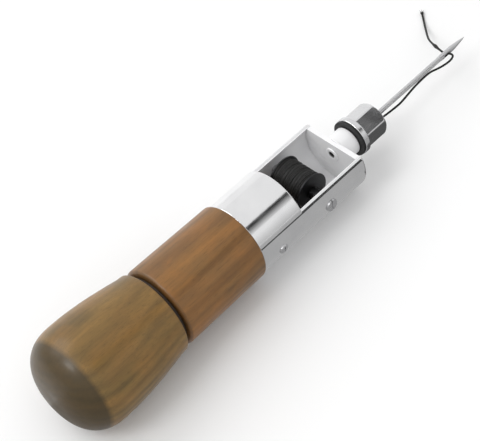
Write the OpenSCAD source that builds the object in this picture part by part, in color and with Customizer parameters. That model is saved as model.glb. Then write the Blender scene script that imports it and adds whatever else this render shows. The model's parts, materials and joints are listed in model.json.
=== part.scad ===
// Lock stitch sewing awl, lying on its side with its bobbin window up.
// Every piece is drawn about the tool's own axis, +X towards the needle's tip,
// +Z towards the window, with x = 0 where the wood meets the metal housing.
// lay() then rests the tool on its knob and on the front edge of its cradle.

/* [Metal housing] */
// Outer radius of the cradle and the collar
shell_r = 13; // [12.5:0.1:13.5]
// Wall thickness of the cradle
shell_wall = 1.5; // [1.2:0.1:1.8]
// Length of the cradle
cradle_len = 46.6; // [46:0.1:50]
// Length of the closed collar
collar_len = 18.8; // [18:0.1:21]
// Height of the cradle's straight rim above the axis
rim_z = 4.8; // [4:0.1:6]
// Thickness of the front wall
front_wall = 1.8; // [1.5:0.1:2.2]

/* [Wooden handle] */
// Length of the wooden handle body
handle_len = 33.4; // [30:0.1:34]
// Radius of the handle body beside the housing
handle_front_r = 13.7; // [13.2:0.1:14]
// Radius of the handle body beside the groove
handle_rear_r = 14.2; // [13.8:0.1:14.6]
// Radius of the wooden spigot inside the collar
spigot_r = 10.1; // [9.5:0.1:10.1]
// Length of the wooden spigot
spigot_len = 16; // [14:0.5:17]

/* [Palm knob] */
// Width of the groove between the handle body and the knob
groove_len = 1.8; // [1.6:0.1:2.2]
// Radius of the knob's front edge
knob_front_r = 14.6; // [14:0.1:15]
// Largest radius of the knob
knob_r = 17.7; // [16.5:0.1:18.5]
// Distance from the knob's front face to its widest place
knob_widen_len = 27.7; // [26:0.1:30]
// Length of the domed end
knob_dome_len = 14.2; // [13:0.1:16]
// Roundness of the dome: 2 is an ellipse, more is squarer
knob_dome_power = 2.57; // [2:0.01:3]
// How far the knob unscrews before it comes off
knob_lift = 10; // [8:0.5:10]

/* [Needle store] */
// Outer radius of the threaded store tube
tube_r = 8; // [7.5:0.1:8]
// Wall thickness of the store tube
tube_wall = 1.2; // [1:0.1:1.4]
// Length of the store tube
tube_len = 54; // [50:1:54]

/* [Chuck] */
// Radius of the neck in front of the housing
neck_r = 4.9; // [4.6:0.1:5.2]
// Length of the neck
neck_len = 5.9; // [5.5:0.1:6.5]
// Radius of the threaded stub
stub_r = 4; // [3.8:0.1:4.2]
// Radius of the chuck nut's flange
flange_r = 6.7; // [6.4:0.1:7]
// Width of the chuck nut across its flats
nut_flats = 10.6; // [10:0.1:11]
// Length of the chuck nut with its flange
nut_len = 11.1; // [10.5:0.1:12]

/* [Needle] */
// Radius of the needle's shaft
needle_r = 0.85; // [0.8:0.05:0.9]
// Radius of the needle's shank
shank_r = 1.2; // [1.1:0.05:1.25]
// How far the needle's tip stands from the wood's edge
tip_x = 109; // [105:1:112]

/* [Bobbin] */
// Distance of the bobbin's axle from the wood's edge
axle_x = 30; // [29:0.5:31]
// Height of the axle above the tool's axis
axle_z = -1.5; // [-2:0.1:-1]
// Radius of the bobbin's axle
axle_r = 1.4; // [1.2:0.1:1.5]
// Radius of the bobbin's flanges
flange_disc_r = 6.6; // [6.4:0.1:7]
// Radius of the wound thread
winding_r = 6.2; // [5.5:0.1:6.3]
// Width of the bobbin over both flanges
bobbin_w = 12.4; // [11:0.1:12.6]
// How far the bobbin sits to the left of the tool's axis
bobbin_offset = 1.6; // [1.4:0.05:1.8]
// Radius of the spacer sleeve on the axle
sleeve_r = 2; // [1.8:0.1:2.2]

/* [Thread] */
// Diameter of the waxed thread
thread_d = 0.74; // [0.6:0.02:0.76]

/* [Hidden] */
$fn = 64;

slip = 0.05;                     // radial clearance of a sliding fit
part_gap = 0.2;                  // gap between pieces that move apart
cut = 1;                         // how far a cutting shape runs past what it cuts
cradle_in_r = shell_r - shell_wall;
knob_x = -handle_len - groove_len;
knob_peak_x = knob_x - knob_widen_len;
tube_in_r = tube_r - tube_wall;
tube_front_x = -6;
bush_r = 9.5;                    // threaded bush in the knob
bush_len = knob_lift + 2.3;
groove_washer_r = 12.4;
spare_bend_r = 60;
spare_bend_a = 46;
tube_rear_x = tube_front_x - tube_len;
wall_x = cradle_len - front_wall;
neck_x = cradle_len + neck_len;
nut_x = neck_x + 1.2;
nut_end_x = nut_x + nut_len;
nut_flange_len = 2.2;
lock_washer_r = 6.5;
mouth_r = 2.2;
feed_r = 1.3;                    // bore that carries the thread through the nose
socket_x = neck_x + 1.8;         // where the collet sits in the stub
stub_end_x = neck_x + 7;
collet_r = 2.85;
eye_x = tip_x - 9.2;
eye_half_len = 1.4;
eye_half_w = 0.48;
groove_x = 68;                   // where the needle's thread groove starts
shank_end_x = 63.4;
point_len = 5.2;
slot_angle = 225;                // collet slot that the thread leaves by
slot_radius = 1.65;              // distance of the thread from the axis there
thread_r = thread_d / 2;
screw_x = 8.3;
screw_r = 0.9;
screw_drop = 9;                  // how far the screws point below the level, in degrees
screw_head_r = 1.7;
screw_root = 6;                  // where a screw's inner end lies from the axis
axle_head_r = 2.2;
slot_w = 0.45;                   // width of the screw heads' slots
bobbin_y = bobbin_w / 2 + bobbin_offset;   // its left face
disc_w = 0.6;
core_r = 2.6;
brake_washer_r = 4.2;
brake_washer_w = 0.5;
spring_wire_r = 0.25;
spring_r = 2.1;
spring_turns = 2;
spring_rings = 32;
spring_y0 = bobbin_y + part_gap + brake_washer_w + spring_wire_r + 0.02;
spring_y1 = wall_y(spring_r + spring_wire_r) - spring_wire_r;

// The tool rests on the knob's widest ring and on the front edge of the cradle.
// Tilted, the knob touches a little in front of that ring, and the cradle's edge is
// rounded, so settle and edge_drop are what these two take up.
settle = 0.11;
edge_drop = 0.03;
lie_tilt = atan((knob_r + settle - shell_r) / (cradle_len - knob_peak_x));
lie_height = cradle_len * sin(lie_tilt) + shell_r * cos(lie_tilt) - edge_drop;
lie_shift = -15.9;

// Route of the free thread, in the finished part's own frame, from the nut's mouth,
// under the needle, up through its eye from the right and down to the surface.
FREE_ROUTE = [
    [48.3, -1.2, 11.1], [49.6, -1.2, 10.9], [51.9, -1.3, 10.5], [55.9, -1.4, 10],
    [59.5, -1.4, 9.7], [63.5, -1.1, 9.9], [66.3, -0.9, 10.1], [69, -0.8, 10.2],
    [72, -0.7, 10.1], [75, -0.8, 9.9], [77.3, -1.1, 9.3], [79.7, -1.4, 8.7],
    [82.2, -1.7, 8.4], [84, -1.9, 8.7], [84.9, -1.9, 9.5], [84.7, -1.5, 10.3],
    [84.1, -0.8, 10.7], [83.8, 0, 10.7], [83.6, 1.2, 10.6], [84.2, 3.4, 10],
    [85.2, 5.8, 8.9], [86.5, 8.6, 7.4], [88.3, 11.7, 5.4], [90.5, 14.6, 3.6],
    [92.7, 17.2, 2.1], [94.8, 19.7, 1], [96.6, 21.8, 0.5], [98.8, 24.4, 0.4]
];

// Route of the thread inside the nose and the collet, about the tool's axis:
// [x, distance from the axis towards the slot].
FEED_ROUTE = [
    [44.6, 0], [47, 0], [50, 0], [52.8, 0], [54.2, 0.2], [55.3, 0.8], [56.4, 1.4],
    [57.8, slot_radius], [61, slot_radius], [64.4, slot_radius]
];

module lay()
    translate([lie_shift, 0, lie_height]) rotate([0, lie_tilt, 0]) children();

// Places a shape drawn along +Z so that it runs along +X from x.
module along_x(x = 0) translate([x, 0, 0]) rotate([0, 90, 0]) children();

module rod(r, x0, x1) along_x(x0) cylinder(r = r, h = x1 - x0);

module tube(r_out, r_in, x0, x1) along_x(x0) difference() {
    cylinder(r = r_out, h = x1 - x0);
    translate([0, 0, -1]) cylinder(r = r_in, h = x1 - x0 + 2);
}

// A rod along the axle's line, from y0 to y1.
module cross_rod(r, y0, y1)
    translate([axle_x, y0, axle_z]) rotate([-90, 0, 0]) cylinder(r = r, h = y1 - y0);

module cross_tube(r_out, r_in, y0, y1) difference() {
    cross_rod(r_out, y0, y1);
    cross_rod(r_in, y0 - 1, y1 + 1);
}

// Points [r, z] of a quarter round of radius c that turns from one direction
// to another about its centre.
function arc_points(r, z, c, a0, a1, steps = 5) =
    [for (i = [0:steps]) let (a = a0 + (a1 - a0) * i / steps) [r, z] + c * [cos(a), sin(a)]];

// A turned solid with both outer edges rounded.
module turned(r0, r1, x0, x1, c0, c1) along_x(x0) rotate_extrude() polygon(concat(
    [[0, 0]], arc_points(r0 - c0, c0, c0, -90, 0),
    arc_points(r1 - c1, x1 - x0 - c1, c1, 0, 90), [[0, x1 - x0]]
));

// Everything above the plane of the cradle's rim, over the length x0 to x1.
module above_rim(x0, x1, z = rim_z)
    translate([x0, -2 * shell_r, z]) cube([x1 - x0, 4 * shell_r, 2 * shell_r]);

// Radial holes or shanks for the two screws that hold the housing on the wood.
module each_screw_side() {
    for (side = [0, 1]) mirror([0, side, 0])
        translate([screw_x, 0, 0]) rotate([90 + screw_drop, 0, 0]) children();
}

// ---------- wooden handle ----------

module handle_body() color("peru") lay() difference() {
    union() {
        turned(handle_rear_r, handle_front_r, -handle_len, 0, 1.2, 0.8);
        rod(spigot_r, -0.5, spigot_len);
    }
    rod(tube_r + slip, -handle_len - 1, tube_front_x);
    each_screw_side() translate([0, 0, screw_root - cut]) cylinder(r = screw_r, h = shell_r, $fn = 24);
}

function knob_front_point(s) =
    [knob_front_r + (knob_r - knob_front_r) * sin(90 * s), knob_widen_len * s];
function knob_dome_point(a) = [
    knob_r * pow(cos(a), 2 / knob_dome_power),
    knob_widen_len + knob_dome_len * pow(sin(a), 2 / knob_dome_power)
];

module palm_knob() color("sienna") lay() difference() {
    translate([knob_x, 0, 0]) rotate([0, -90, 0]) rotate_extrude() polygon(concat(
        [[0, 0]], arc_points(knob_front_r - 0.6, 0.8, 0.8, -90, -20),
        [for (i = [1:8]) knob_front_point(i / 8)],
        [for (i = [1:14]) knob_dome_point(90 * i / 14)]
    ));
    rod(bush_r, knob_x - bush_len, knob_x + 1);
    rod(tube_r + 0.5, tube_rear_x - 1.5, knob_x - bush_len + 0.3);
}

module knob_insert() color("goldenrod") lay()
    tube(bush_r, tube_r + slip, knob_x - bush_len, knob_x);

module groove_washer() color("#2a1c14") lay()
    tube(groove_washer_r, tube_r + 0.3, knob_x + part_gap, -handle_len - part_gap);

module needle_tube() color("silver") lay() difference() {
    rod(tube_r, tube_rear_x, tube_front_x);
    rod(tube_in_r, tube_rear_x - 1, tube_front_x - 1);
}

module spare_straight_needle() color("lightgrey") lay()
    translate([tube_rear_x + 1, 0, shank_r - tube_in_r + 0.02]) {
        rod(shank_r, 0, 6.5);
        rod(needle_r, 6.5, 45);
        along_x(45) cylinder(r1 = needle_r, r2 = 0.2, h = 5.5);
    }

// The curved spare lies above the straight one, bent in the level plane.
module spare_curved_needle() color("lightgrey") lay()
    translate([tube_rear_x + 27, spare_bend_r - 2, -3.2]) rotate([0, 0, -90 - spare_bend_a / 2])
        rotate_extrude(angle = spare_bend_a) translate([spare_bend_r, 0]) circle(r = needle_r, $fn = 24);

// ---------- metal housing ----------

module cradle() color("silver") lay() difference() {
    along_x() rotate_extrude() polygon(concat(
        [[cradle_in_r, 0], [shell_r - 0.4, 0], [shell_r, 0.4]],
        arc_points(shell_r - 0.7, cradle_len - 0.7, 0.7, 0, 90),
        [[cradle_in_r, cradle_len]]
    ));
    above_rim(-1, cradle_len + 1);
    each_screw_side() cylinder(r = screw_r + 0.1, h = 2 * shell_r, $fn = 24);
    cross_rod(axle_r + slip, -shell_r - cut, shell_r + cut);
    cross_rod(axle_head_r + part_gap, -shell_r - cut, -shell_r + 0.25);
}

module collar() color("silver") lay() {
    difference() {
        union() {
            tube(cradle_in_r - slip, spigot_r + slip, 0, collar_len);
            difference() {
                along_x() rotate_extrude() polygon(concat(
                    [[spigot_r + slip, 0], [shell_r - 0.4, 0], [shell_r, 0.4]],
                    arc_points(shell_r - 0.5, collar_len - 0.5, 0.5, 0, 90),
                    [[spigot_r + slip, collar_len]]
                ));
                mirror([0, 0, 1]) above_rim(-1, collar_len + 1, -rim_z - slip);
            }
        }
        each_screw_side() cylinder(r = screw_r + 0.1, h = 2 * shell_r, $fn = 24);
    }
}

module ferrule_screws() color("gainsboro") lay() each_screw_side() {
    translate([0, 0, screw_root]) cylinder(r = screw_r, h = shell_r - screw_root + 0.2, $fn = 24);
    difference() {
        translate([0, 0, shell_r + 0.05])
            cylinder(r1 = screw_head_r, r2 = screw_head_r - 0.5, h = 0.7, $fn = 32);
        translate([-2, -slot_w / 2, shell_r + 0.45]) cube([4, slot_w, 1]);
    }
}

// ---------- nose, chuck and needle ----------

module nose_piece() color("silver") lay() difference() {
    union() {
        difference() {
            rod(cradle_in_r - slip, wall_x, cradle_len);
            above_rim(wall_x - 1, cradle_len + 1);
        }
        turned(neck_r, neck_r, cradle_len - 0.5, neck_x, 0.1, 0.4);
        turned(stub_r, stub_r, neck_x - 0.5, stub_end_x, 0.1, 0.4);
    }
    rod(feed_r, wall_x - 1, stub_end_x + 1);
    rod(1.75, wall_x - 1, wall_x + 2.5);
    rod(collet_r + slip, socket_x, stub_end_x + 1);
}

module thread_eyelet() color("gainsboro") lay() along_x(wall_x) rotate_extrude() polygon(concat(
    [[1.7, 2.4], [1.7, 0], [2.5, 0]],
    arc_points(2.1, 0, 0.4, 0, -90, 4),
    arc_points(1.5, 0, 0.5, -90, -180, 4),
    [[1, 2.4]]
));

// A plain sleeve with a cone at its front, cut by four slots.
module collet() color("lightgrey") lay() difference() {
    along_x(socket_x + 0.1) rotate_extrude() polygon([
        [shank_r + 0.02, 0], [collet_r, 0], [collet_r, 6.2], [2, 8.2], [shank_r + 0.02, 8.2]
    ]);
    for (i = [0:3]) rotate([slot_angle + 90 * i, 0, 0])
        translate([socket_x + 0.8, 0.6, -0.48]) cube([20, 5, 0.96]);
}

module lock_washer() color("#151515") lay()
    tube(lock_washer_r, stub_r + 0.15, neck_x + part_gap, nut_x - part_gap);

module chuck_nut() color("silver") lay() difference() {
    union() {
        turned(flange_r, flange_r, nut_x, nut_x + nut_flange_len, 0.4, 0.7);
        intersection() {
            along_x(nut_x + 1) rotate([0, 0, 34])
                cylinder(d = nut_flats / cos(30), h = nut_len - 1, $fn = 6);
            turned(nut_flats / 2 + 0.6, nut_flats / 2 + 0.2, nut_x + 0.9, nut_end_x, 0.1, 1.4);
        }
    }
    rod(stub_r + slip, nut_x - 1, stub_end_x + 0.8);
    along_x(stub_end_x + 0.7) cylinder(r1 = 3.5, r2 = mouth_r, h = 2.6);
    rod(mouth_r, stub_end_x + 3, nut_end_x + 1);
}

module needle() color("silver") lay() difference() {
    union() {
        rod(shank_r, 57.8, shank_end_x);
        along_x(shank_end_x) cylinder(r1 = shank_r, r2 = needle_r, h = 0.8);
        rod(needle_r, shank_end_x + 0.8, tip_x - 12.5);
        // The eye's blade: a little thicker than the shaft, with flat sides.
        intersection() {
            along_x(tip_x - 13.5) rotate_extrude() polygon([
                [0, 0], [needle_r, 0], [1, 2], [1, 6.5], [needle_r, 9], [0, 9]
            ]);
            translate([tip_x - 14, -0.75, -2]) cube([10, 1.5, 4]);
        }
        along_x(tip_x - point_len) cylinder(r1 = needle_r, r2 = 0.12, h = point_len);
        rod(needle_r, tip_x - point_len - 0.8, tip_x - point_len);
    }
    // The eye, right through, and the thread groove along the right side.
    translate([eye_x - eye_half_len, -3, -eye_half_w]) cube([2 * eye_half_len, 6, 2 * eye_half_w]);
    translate([groove_x, -needle_r - 0.3, -0.25]) cube([eye_x - groove_x - 1.5, 0.6, 0.5]);
}

// ---------- bobbin ----------

module bobbin_spool() color("#2c2c2c") lay() difference() {
    union() {
        cross_rod(core_r, bobbin_y - bobbin_w, bobbin_y);
        cross_rod(flange_disc_r, bobbin_y - bobbin_w, bobbin_y - bobbin_w + disc_w);
        cross_rod(flange_disc_r, bobbin_y - disc_w, bobbin_y);
    }
    cross_rod(axle_r + slip, -shell_r, shell_r);
}

module bobbin_winding() color("#1a1a1a") lay()
    cross_tube(winding_r, core_r + 0.02, bobbin_y - bobbin_w + disc_w + 0.02, bobbin_y - disc_w - 0.02);

module bobbin_axle() color("gainsboro") lay() {
    cross_rod(axle_r, -shell_r, shell_r - 0.3);
    difference() {
        cross_rod(axle_head_r, -shell_r - 0.55, -shell_r + 0.2);
        translate([axle_x - 3, -shell_r - 1.2, axle_z - slot_w / 2]) cube([6, 0.95, slot_w]);
    }
}

module spacer_sleeve() color("dimgrey") lay()
    cross_tube(sleeve_r, axle_r + slip, -wall_y(sleeve_r), bobbin_y - bobbin_w - part_gap);

module tension_washer() color("lightgrey") lay()
    cross_tube(brake_washer_r, axle_r + slip, bobbin_y + part_gap, bobbin_y + part_gap + brake_washer_w);

// Distance from the tool's middle plane at which a piece of radius r around the axle
// meets the inside of the cradle.
function wall_y(r) = sqrt(pow(cradle_in_r, 2) - pow(r - axle_z, 2)) - 0.05;

function spring_point(t) = [
    axle_x + spring_r * cos(360 * spring_turns * t),
    spring_y0 + (spring_y1 - spring_y0) * t,
    axle_z + spring_r * sin(360 * spring_turns * t)
];

module tension_spring() color("lightgrey") lay()
    sweep([for (i = [0:spring_rings]) spring_point(i / spring_rings)], spring_wire_r, 6);

// ---------- thread ----------

function unit(v) = v / norm(v);
function tangent(p, i) = unit(p[min(i + 1, len(p) - 1)] - p[max(i - 1, 0)]);

// Sideways directions carried along the path without twisting.
function carried(p, last = undef, out = []) =
    let (t = tangent(p, len(out)),
         side = is_undef(last) ? cross(t, abs(t.z) < 0.9 ? [0, 0, 1] : [1, 0, 0]) : last - t * (last * t),
         grown = concat(out, [unit(side)]))
    len(grown) == len(p) ? grown : carried(p, unit(side), grown);

// One round tube of radius r along the points p.
module sweep(p, r, sides) {
    u = carried(p);
    ring_count = len(p);
    points = [for (i = [0:ring_count - 1]) let (t = tangent(p, i), w = cross(t, u[i]))
        for (k = [0:sides - 1]) p[i] + r * (cos(360 * k / sides) * u[i] + sin(360 * k / sides) * w)];
    walls = [for (i = [0:ring_count - 2]) for (k = [0:sides - 1])
        let (a = i * sides + k, b = i * sides + (k + 1) % sides)
        for (f = [[a, a + sides, b], [b, a + sides, b + sides]]) f];
    first_cap = [for (k = [0:sides - 1]) k];
    last_cap = [for (k = [sides - 1:-1:0]) (ring_count - 1) * sides + k];
    polyhedron(points = points, faces = concat(walls, [first_cap], [last_cap]));
}

// Catmull-Rom curve through the points of p.
function curve_point(p, i, t) =
    let (a = p[max(i - 1, 0)], b = p[i], c = p[i + 1], d = p[min(i + 2, len(p) - 1)])
    0.5 * (2 * b + (c - a) * t + (2 * a - 5 * b + 4 * c - d) * t * t
           + (3 * b - a - 3 * c + d) * t * t * t);
function curve(p, steps) = concat(
    [for (i = [0:len(p) - 2]) for (k = [0:steps - 1]) curve_point(p, i, k / steps)],
    [p[len(p) - 1]]
);

function feed_point(q) = [q[0], q[1] * cos(slot_angle), q[1] * sin(slot_angle)];

module thread_feed() color("#1a1a1a") lay()
    sweep([for (q = curve(FEED_ROUTE, 2)) feed_point(q)], thread_r, 8);

module thread_free() color("#1a1a1a") sweep(curve(FREE_ROUTE, 2), thread_r, 8);

module thread_knot() color("#1a1a1a")
    translate(FREE_ROUTE[len(FREE_ROUTE) - 1] + [0.3, 0.4, 0.25]) sphere(r = 0.62, $fn = 24);

palm_knob();
knob_insert();
groove_washer();
handle_body();
needle_tube();
spare_straight_needle();
spare_curved_needle();
cradle();
collar();
ferrule_screws();
nose_piece();
thread_eyelet();
collet();
lock_washer();
chuck_nut();
needle();
bobbin_spool();
bobbin_winding();
bobbin_axle();
spacer_sleeve();
tension_washer();
tension_spring();
thread_feed();
thread_free();
thread_knot();
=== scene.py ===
import json
import math

import bmesh
import bpy
from mathutils import Matrix, Vector


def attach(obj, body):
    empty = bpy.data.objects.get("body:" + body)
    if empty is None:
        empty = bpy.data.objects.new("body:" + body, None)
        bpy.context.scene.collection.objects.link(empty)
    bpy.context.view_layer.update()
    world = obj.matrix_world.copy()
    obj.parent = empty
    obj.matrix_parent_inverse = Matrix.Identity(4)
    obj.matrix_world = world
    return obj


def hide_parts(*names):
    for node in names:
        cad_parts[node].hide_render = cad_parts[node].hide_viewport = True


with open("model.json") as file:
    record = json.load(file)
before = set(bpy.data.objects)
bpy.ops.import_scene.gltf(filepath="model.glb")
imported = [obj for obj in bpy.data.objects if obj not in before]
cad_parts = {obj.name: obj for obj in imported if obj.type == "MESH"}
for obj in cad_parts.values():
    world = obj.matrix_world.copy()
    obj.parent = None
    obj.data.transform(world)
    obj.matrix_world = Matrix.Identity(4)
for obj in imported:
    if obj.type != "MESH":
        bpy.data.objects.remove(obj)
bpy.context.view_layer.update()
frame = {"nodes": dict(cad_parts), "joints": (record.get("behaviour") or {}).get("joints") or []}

MM = 0.001
JOINTS = {joint["name"]: joint for joint in frame["joints"]}
NODES = frame["nodes"]


# ---------- lines that the pieces are turned about, read from the frame ----------

class Line:
    """A straight line with its own directions, which measures the CAD nodes along it."""

    def __init__(self, start, along, side):
        self.start = start
        self.along = along
        self.side = side
        self.up = along.cross(side)

    def at(self, x, y=0.0, z=0.0):
        """A point given along the line, to its side and above it."""
        return self.start + self.along * x + self.side * y + self.up * z

    def span(self, node):
        """Where a node begins and ends along the line."""
        steps = [(v.co - self.start).dot(self.along) for v in NODES[node].data.vertices]
        return min(steps), max(steps)

    def radii(self, node, low=-1.0, high=1.0):
        """Least and greatest distance of a node's points from the line, from low to high."""
        found = []
        for v in NODES[node].data.vertices:
            out = v.co - self.start
            x = out.dot(self.along)
            if low <= x <= high:
                found.append((out - self.along * x).length)
        return min(found), max(found)


FORWARD = Vector(JOINTS["nut_turn"]["axis"]).normalized()
LEFT = Vector((0, 1, 0))
UP = FORWARD.cross(LEFT)
CHUCK = Line(Vector(JOINTS["nut_turn"]["pos_m"]), FORWARD, LEFT)

# The wood meets the metal at the back of the cradle. Places along the tool are
# measured from there.
TOOL = Line(CHUCK.at(CHUCK.span("cradle")[0]), FORWARD, LEFT)

# The bobbin turns about the axle, from the tool's middle plane to the left.
AXLE = Line(Vector(JOINTS["bobbin_spin"]["pos_m"]), LEFT, FORWARD)
AXLE.start.y = 0.0

at = TOOL.at
RIM_Z = max((v.co - TOOL.start).dot(UP) for v in NODES["cradle"].data.vertices)


# ---------- camera ----------

CAMERA_PLACE = at(-255.9 * MM, -345.3 * MM, 515.2 * MM)
CAMERA_RIGHT = FORWARD * 0.6879 - LEFT * 0.7145 - UP * 0.1280
CAMERA_UP = FORWARD * 0.6109 + LEFT * 0.4745 + UP * 0.6338
LENS_MM = 163.2
SHIFT_X = -0.0208


def make_camera():
    """The camera that was fitted to the photo, which looks down on the tool from its right."""
    data = bpy.data.cameras.new("camera")
    data.lens = LENS_MM
    data.sensor_width = 36.0
    data.shift_x = SHIFT_X
    data.clip_start = 0.01
    data.clip_end = 20.0
    camera = bpy.data.objects.new("camera", data)
    bpy.context.scene.collection.objects.link(camera)
    right = CAMERA_RIGHT.normalized()
    back = right.cross(CAMERA_UP).normalized()
    above = back.cross(right)
    turn = Matrix((right, above, back)).transposed().to_4x4()
    camera.matrix_world = Matrix.Translation(CAMERA_PLACE) @ turn
    bpy.context.scene.camera = camera


make_camera()


# ---------- mesh helpers ----------

def evenly(start, end, steps):
    """Evenly spaced numbers from start to end, with both of them."""
    return [start + (end - start) * i / steps for i in range(steps + 1)]


def full_turn(steps):
    """Evenly spaced angles all the way round."""
    return evenly(0, 2 * math.pi, steps)[:-1]


def arc(x, r, size, start, end, steps=6):
    """Points (along, radius) of an arc round (x, r), from one angle in degrees to another."""
    turns = [math.radians(a) for a in evenly(start, end, steps)]
    return [(x + size * math.cos(a), r + size * math.sin(a)) for a in turns]


def circle(place, x, r, steps):
    """Points of a circle round the axis that place() uses."""
    return [place(x, r * math.cos(a), r * math.sin(a)) for a in full_turn(steps)]


def join_rows(bm, low, high):
    """Faces between two rows of points, where a row of one point is a tip."""
    count = max(len(low), len(high))
    for i in range(count):
        k = (i + 1) % count
        if len(low) == 1:
            bm.faces.new((low[0], high[k], high[i]))
        elif len(high) == 1:
            bm.faces.new((low[i], low[k], high[0]))
        else:
            bm.faces.new((low[i], low[k], high[k], high[i]))


def cover(bm, loops, ring=False):
    """A surface through loops of points, and from the last back to the first for a ring.

    Gives back the rows of vertices.
    """
    rows = [[bm.verts.new(p) for p in loop] for loop in loops]
    for low, high in zip(rows, rows[1:] + rows[:1] if ring else rows[1:]):
        join_rows(bm, low, high)
    return rows


def loft(bm, loops):
    """A closed solid through loops of points, with both ends filled."""
    rows = cover(bm, loops)
    bm.faces.new(rows[0])
    bm.faces.new(list(reversed(rows[-1])))


def lathe(bm, outline, place, steps=128, ring=False):
    """Turns an outline of (along, radius) points about the axis that place() uses."""
    loops = [circle(place, x, r, steps) if r > 1e-6 else [place(x, 0, 0)] for x, r in outline]
    cover(bm, loops, ring)


def curve_through(points, steps):
    """A Catmull-Rom curve through the points, as a list of points."""
    out = []
    for i in range(len(points) - 1):
        a, b = points[max(i - 1, 0)], points[i]
        c, d = points[i + 1], points[min(i + 2, len(points) - 1)]
        for k in range(steps):
            t = k / steps
            out.append(0.5 * (2 * b + (c - a) * t + (2 * a - 5 * b + 4 * c - d) * t ** 2
                              + (3 * b - a - 3 * c + d) * t ** 3))
    return out + [points[-1]]


def run_lengths(line):
    """Distance from the start of a line to each of its points."""
    out = [0.0]
    for a, b in zip(line, line[1:]):
        out.append(out[-1] + (b - a).length)
    return out


def twisted_tube(bm, line, size_at, turn_length, plies=3, sides=24, loop=False):
    """A tube of twisted plies along a line. size_at(s) is its radius at a distance s.

    It is closed at both ends, or joined to itself where the line is a loop.
    """
    count = len(line)
    side = None
    loops = []
    for i, (p, s) in enumerate(zip(line, run_lengths(line))):
        ahead = line[(i + 1) % count] if loop else line[min(i + 1, count - 1)]
        behind = line[i - 1] if loop or i else line[0]
        t = (ahead - behind).normalized()
        side = t.orthogonal() if side is None else side - t * side.dot(t)
        side.normalize()
        across = t.cross(side)
        row = []
        for a in full_turn(sides):
            lobe = abs(math.cos(plies / 2 * (a - 2 * math.pi * s / turn_length)))
            r = size_at(s) * (0.80 + 0.20 * lobe ** 0.6)
            row.append(p + side * (r * math.cos(a)) + across * (r * math.sin(a)))
        loops.append(row)
    if loop:
        cover(bm, loops, ring=True)
    else:
        loft(bm, loops)


def make_piece(name, bm, material, body, nodes, sharp=32, bevel=0.0):
    """A finished piece that rides on a body and stands for CAD nodes."""
    bmesh.ops.recalc_face_normals(bm, faces=bm.faces)
    data = bpy.data.meshes.new(name)
    bm.to_mesh(data)
    bm.free()
    data.shade_smooth()
    data.set_sharp_from_angle(angle=math.radians(sharp))
    data.materials.append(material)
    piece = bpy.data.objects.new(name, data)
    bpy.context.scene.collection.objects.link(piece)
    if bevel:
        edge = piece.modifiers.new("edges", "BEVEL")
        edge.width = bevel
        edge.segments = 3
        edge.limit_method = "ANGLE"
        edge.angle_limit = math.radians(sharp)
        edge.harden_normals = True
    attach(piece, body)
    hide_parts(*nodes)
    return piece


# ---------- materials ----------

def fill_range(node, low, high, first, last):
    """Sets what a MapRange node reads, and what it gives for it."""
    for socket, value in zip(("From Min", "From Max", "To Min", "To Max"), (low, high, first, last)):
        node.inputs[socket].default_value = value
    return node.outputs[0]


class Shader:
    """A material's node tree, with short ways to add and link its nodes."""

    def __init__(self, name):
        self.material = bpy.data.materials.new(name)
        self.material.use_nodes = True
        self.tree = self.material.node_tree
        self.surface = self.tree.nodes["Principled BSDF"]

    def add(self, kind, settings=(), **values):
        """A new node. Its inputs are named by their labels, with _ for each space."""
        node = self.tree.nodes.new("ShaderNode" + kind)
        for key, value in dict(settings).items():
            setattr(node, key, value)
        for key, value in values.items():
            self.put(node, key.replace("_", " "), value)
        return node

    def put(self, node, socket, value):
        """Links or sets an input, which is named by its label or its number."""
        target = node.inputs[socket]
        if isinstance(value, bpy.types.NodeSocket):
            self.tree.links.new(value, target)
        else:
            target.default_value = value

    def set(self, **values):
        """Links or sets inputs of the surface, named in the same way."""
        for key, value in values.items():
            self.put(self.surface, key.replace("_", " "), value)

    def coordinates(self, scale):
        """Object coordinates turned to lie along the tool, then scaled, one number each way."""
        spot = self.add("TexCoord").outputs["Object"]
        tilt = math.atan2(FORWARD.z, FORWARD.x)
        turned = self.add("Mapping", Vector=spot, Rotation=(0, tilt, 0))
        return self.add("Mapping", Vector=turned.outputs[0], Scale=scale).outputs[0]

    def noise(self, scale, detail=4.0, roughness=0.5, distortion=0.0):
        """A cloudy pattern that lies along the tool, as a number at each point."""
        node = self.add("TexNoise", Vector=self.coordinates(scale), Scale=1.0, Detail=detail,
                        Roughness=roughness, Distortion=distortion)
        return node.outputs["Fac"]

    def ramp(self, factor, stops):
        """A colour ramp with stops of (place, colour)."""
        node = self.add("ValToRGB", Fac=factor)
        points = node.color_ramp.elements
        while len(points) < len(stops):
            points.new(0.5)
        for point, (place, color) in zip(points, stops):
            point.position = place
            point.color = (*color, 1.0)
        return node.outputs["Color"]

    def between(self, factor, low, high):
        """A number that goes from low to high as factor goes from 0.3 to 0.7."""
        return fill_range(self.add("MapRange", Value=factor), 0.3, 0.7, low, high)

    def mix(self, factor, first, second):
        """From the first colour or number to the second, as factor goes from 0 to 1."""
        return self.add("MixRGB", Fac=factor, Color1=first, Color2=second).outputs[0]

    def times(self, value, factor):
        """A number multiplied by a plain factor."""
        node = self.add("Math", {"operation": "MULTIPLY"})
        self.put(node, 0, value)
        self.put(node, 1, factor)
        return node.outputs[0]

    def bump(self, height, depth, strength=1.0):
        """Relief of the surface, where a height of 1 stands for depth."""
        node = self.add("Bump", Height=height, Distance=depth, Strength=strength)
        self.put(self.surface, "Normal", node.outputs[0])


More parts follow.
